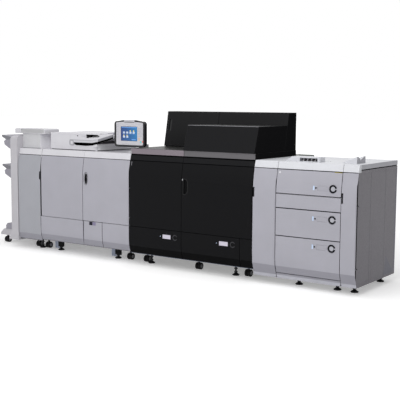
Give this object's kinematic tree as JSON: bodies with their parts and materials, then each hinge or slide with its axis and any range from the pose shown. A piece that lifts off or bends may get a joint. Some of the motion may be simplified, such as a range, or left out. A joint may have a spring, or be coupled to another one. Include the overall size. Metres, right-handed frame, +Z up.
{
  "type": "digital production printer",
  "caption": "Row of printing cabinets with doors, paper drawers, document feeder, control panel, hood, finisher trays and casters.",
  "frame": {"origin": "centre of the machine's footprint box, on the floor", "axes": "+X along the row from the finisher to the paper deck, +Y to the back, +Z up; the doors face -Y"},
  "size_m": [4.248, 1.1, 1.432],
  "materials": {
    "sheet_metal_light": "satin",
    "light_plastic": "satin",
    "door_gray": "satin",
    "tray_gray": "satin",
    "roller_rubber": "satin",
    "white_plastic": "satin",
    "door_lavender": "satin",
    "roller_coated": "satin",
    "platen_glass": "satin",
    "panel_dark": "satin",
    "screen_glass": "satin",
    "key_teal": "satin",
    "key_red": "satin",
    "black_metal": "satin",
    "band_metal": "satin",
    "rear_metal": "satin",
    "black_plastic": "satin",
    "bottle_plastic": "satin",
    "side_gray": "satin",
    "key_ring_dark": "satin",
    "steel_parts": "satin",
    "foot_black": "satin",
    "steel_dark": "satin",
    "wheel_rubber": "satin"
  },
  "bodies": {
    "frame": {"finisher_cabinet": "sheet_metal_light", "finisher_end_cover": "light_plastic", "inserter_body": "light_plastic", "fixing_cabinet": "sheet_metal_light", "fixing_top_cover": "white_plastic", "fixing_lower_panels": "door_lavender", "reader_base": "light_plastic", "platen_glass": "platen_glass", "engine_cabinet": "black_metal", "engine_top_cover": "band_metal", "engine_rear_cover": "rear_metal", "hood_front": "black_plastic", "hood_rear": "black_plastic", "toner_bottles": "bottle_plastic", "drum_units": "bottle_plastic", "transfer_belt": "roller_rubber", "deck_cabinet": "side_gray", "deck_top_cover": "white_plastic", "door_hinges": "steel_parts", "levelling_feet": "foot_black", "caster_forks": "steel_dark"},
    "finisher_door": {"finisher_door": "door_gray"},
    "fixing_door_left": {"fixing_door_left": "door_lavender"},
    "fixing_door_right": {"fixing_door_right": "door_lavender"},
    "counter_door": {"counter_door": "door_lavender"},
    "engine_door_left": {"engine_door_left": "black_metal"},
    "engine_door_right": {"engine_door_right": "black_metal"},
    "deck_door_left": {"deck_door_left": "door_lavender"},
    "deck_door_right": {"deck_door_right": "door_lavender"},
    "toner_door": {"toner_door": "black_plastic"},
    "inserter_lid": {"inserter_lid": "light_plastic"},
    "stack_tray_upper": {"stack_tray_upper": "tray_gray"},
    "stack_tray_lower": {"stack_tray_lower": "tray_gray"},
    "booklet_tray": {"booklet_tray": "light_plastic"},
    "exit_rollers": {"exit_rollers": "roller_rubber"},
    "fixing_roller": {"fixing_roller": "roller_coated"},
    "pressure_roller": {"pressure_roller": "roller_rubber"},
    "feeder": {"feeder_body": "light_plastic", "document_tray": "light_plastic"},
    "feeder_cover": {"feeder_cover": "light_plastic"},
    "feed_roller": {"feed_roller": "roller_rubber"},
    "guide_front": {"guide_front": "tray_gray"},
    "guide_rear": {"guide_rear": "tray_gray"},
    "panel_arm": {"panel_arm": "light_plastic"},
    "panel": {"panel_housing": "panel_dark", "touch_screen": "screen_glass"},
    "start_key": {"start_key": "key_teal"},
    "stop_key": {"stop_key": "key_red"},
    "cassette_left": {"cassette_left": "black_metal"},
    "cassette_right": {"cassette_right": "black_metal"},
    "deck_drawer_1": {"deck_drawer_1": "door_lavender"},
    "deck_drawer_2": {"deck_drawer_2": "door_lavender"},
    "deck_drawer_3": {"deck_drawer_3": "door_lavender"},
    "cassette_key_left": {"cassette_key_left": "panel_dark"},
    "cassette_key_right": {"cassette_key_right": "panel_dark"},
    "deck_key_1": {"deck_key_1": "key_ring_dark"},
    "deck_key_2": {"deck_key_2": "key_ring_dark"},
    "deck_key_3": {"deck_key_3": "key_ring_dark"},
    "front_wheels": {"front_wheels": "wheel_rubber"},
    "rear_wheels": {"rear_wheels": "wheel_rubber"}
  },
  "joints": [
    {"name": "finisher_door_hinge", "type": "hinge", "parent": "frame", "child": "finisher_door", "pos_m": [-1.642, -0.53, 0.72], "axis": [0, 0, -1], "range_deg": [0, 90]},
    {"name": "fixing_door_left_hinge", "type": "hinge", "parent": "frame", "child": "fixing_door_left", "pos_m": [-1.311, -0.53, 0.72], "axis": [0, 0, -1], "range_deg": [0, 90]},
    {"name": "fixing_door_right_hinge", "type": "hinge", "parent": "frame", "child": "fixing_door_right", "pos_m": [-0.191, -0.53, 0.72], "axis": [0, 0, 1], "range_deg": [0, 90]},
    {"name": "counter_door_hinge", "type": "hinge", "parent": "frame", "child": "counter_door", "pos_m": [-0.731, -0.53, 0.25], "axis": [0, 0, -1], "range_deg": [0, 90]},
    {"name": "engine_door_left_hinge", "type": "hinge", "parent": "frame", "child": "engine_door_left", "pos_m": [-0.147, -0.53, 0.72], "axis": [0, 0, -1], "range_deg": [0, 90]},
    {"name": "engine_door_right_hinge", "type": "hinge", "parent": "frame", "child": "engine_door_right", "pos_m": [1.164, -0.53, 0.72], "axis": [0, 0, 1], "range_deg": [0, 90]},
    {"name": "deck_door_left_hinge", "type": "hinge", "parent": "frame", "child": "deck_door_left", "pos_m": [1.389, -0.53, 0.72], "axis": [0, 0, 1], "range_deg": [0, 90]},
    {"name": "deck_door_right_hinge", "type": "hinge", "parent": "frame", "child": "deck_door_right", "pos_m": [2.114, -0.53, 0.72], "axis": [0, 0, 1], "range_deg": [0, 90]},
    {"name": "toner_door_hinge", "type": "hinge", "parent": "frame", "child": "toner_door", "pos_m": [0.43175, 0.02536, 1.25853], "axis": [0, 0.1911, 0.9816], "range_deg": [0, 85]},
    {"name": "inserter_lid_hinge", "type": "hinge", "parent": "frame", "child": "inserter_lid", "pos_m": [-1.534, -0.274, 1.1926], "axis": [-1, 0, 0], "range_deg": [0, 75]},
    {"name": "stack_tray_upper_lift", "type": "slide", "parent": "frame", "child": "stack_tray_upper", "axis": [0, 0, 1], "range_m": [-0.05, 0.02]},
    {"name": "stack_tray_lower_lift", "type": "slide", "parent": "frame", "child": "stack_tray_lower", "axis": [0, 0, 1], "range_m": [-0.4, 0.04]},
    {"name": "booklet_tray_fold", "type": "hinge", "parent": "frame", "child": "booklet_tray", "pos_m": [-1.77661, -0.19, 0.2303], "axis": [0, 1, 0], "range_deg": [0, 60]},
    {"name": "exit_rollers_spin", "type": "hinge", "parent": "frame", "child": "exit_rollers", "pos_m": [-1.574, -0.19, 0.9456], "axis": [0, 1, 0], "continuous": true},
    {"name": "fixing_roller_spin", "type": "hinge", "parent": "frame", "child": "fixing_roller", "pos_m": [-0.753, -0.19, 0.64], "axis": [0, 1, 0], "continuous": true},
    {"name": "pressure_roller_spin", "type": "hinge", "parent": "frame", "child": "pressure_roller", "pos_m": [-0.753, -0.19, 0.5597], "axis": [0, 1, 0], "continuous": true},
    {"name": "feeder_hinge", "type": "hinge", "parent": "frame", "child": "feeder", "pos_m": [-0.944, 0.14, 1.0806], "axis": [-1, 0, 0], "range_deg": [0, 60]},
    {"name": "feeder_cover_hinge", "type": "hinge", "parent": "feeder", "child": "feeder_cover", "pos_m": [-1.264, -0.16, 1.1936], "axis": [0, -1, 0], "range_deg": [0, 70]},
    {"name": "feed_roller_spin", "type": "hinge", "parent": "feeder", "child": "feed_roller", "pos_m": [-0.826, -0.16, 1.1606], "axis": [0, 1, 0], "continuous": true},
    {"name": "guide_front_slide", "type": "slide", "parent": "feeder", "child": "guide_front", "axis": [0, 1, 0], "range_m": [0, 0.13]},
    {"name": "guide_rear_slide", "type": "slide", "parent": "feeder", "child": "guide_rear", "axis": [0, 1, 0], "range_m": [-0.13, 0]},
    {"name": "panel_swivel", "type": "hinge", "parent": "frame", "child": "panel_arm", "pos_m": [-0.203, -0.25, 1.1], "axis": [0, 0, 1], "range_deg": [-12, 40]},
    {"name": "panel_tilt", "type": "hinge", "parent": "panel_arm", "child": "panel", "pos_m": [-0.203, -0.441, 1.2002], "axis": [-1, 0, 0], "range_deg": [0, 25]},
    {"name": "start_key_press", "type": "slide", "parent": "panel", "child": "start_key", "axis": [0, 1, 0], "range_m": [0, 0.0015], "stiffness_N_per_m": 300},
    {"name": "stop_key_press", "type": "slide", "parent": "panel", "child": "stop_key", "axis": [0, 1, 0], "range_m": [0, 0.0015], "stiffness_N_per_m": 300},
    {"name": "cassette_left_slide", "type": "slide", "parent": "frame", "child": "cassette_left", "axis": [0, -1, 0], "range_m": [0, 0.5]},
    {"name": "cassette_right_slide", "type": "slide", "parent": "frame", "child": "cassette_right", "axis": [0, -1, 0], "range_m": [0, 0.5]},
    {"name": "deck_drawer_1_slide", "type": "slide", "parent": "frame", "child": "deck_drawer_1", "axis": [0, -1, 0], "range_m": [0, 0.5]},
    {"name": "deck_drawer_2_slide", "type": "slide", "parent": "frame", "child": "deck_drawer_2", "axis": [0, -1, 0], "range_m": [0, 0.5]},
    {"name": "deck_drawer_3_slide", "type": "slide", "parent": "frame", "child": "deck_drawer_3", "axis": [0, -1, 0], "range_m": [0, 0.5]},
    {"name": "cassette_key_left_press", "type": "slide", "parent": "cassette_left", "child": "cassette_key_left", "axis": [0, 1, 0], "range_m": [0, 0.003], "stiffness_N_per_m": 400},
    {"name": "cassette_key_right_press", "type": "slide", "parent": "cassette_right", "child": "cassette_key_right", "axis": [0, 1, 0], "range_m": [0, 0.003], "stiffness_N_per_m": 400},
    {"name": "deck_key_1_press", "type": "slide", "parent": "deck_drawer_1", "child": "deck_key_1", "axis": [0, 1, 0], "range_m": [0, 0.003], "stiffness_N_per_m": 400},
    {"name": "deck_key_2_press", "type": "slide", "parent": "deck_drawer_2", "child": "deck_key_2", "axis": [0, 1, 0], "range_m": [0, 0.003], "stiffness_N_per_m": 400},
    {"name": "deck_key_3_press", "type": "slide", "parent": "deck_drawer_3", "child": "deck_key_3", "axis": [0, 1, 0], "range_m": [0, 0.003], "stiffness_N_per_m": 400},
    {"name": "front_wheels_spin", "type": "hinge", "parent": "frame", "child": "front_wheels", "pos_m": [0, -0.35, 0.0335], "axis": [1, 0, 0], "continuous": true},
    {"name": "rear_wheels_spin", "type": "hinge", "parent": "frame", "child": "rear_wheels", "pos_m": [0, 0.197, 0.0335], "axis": [1, 0, 0], "continuous": true}
  ],
  "couplings": [
    {"joint": "pressure_roller_spin", "follows": "fixing_roller_spin", "ratio": -1},
    {"joint": "guide_rear_slide", "follows": "guide_front_slide", "ratio": -1}
  ]
}
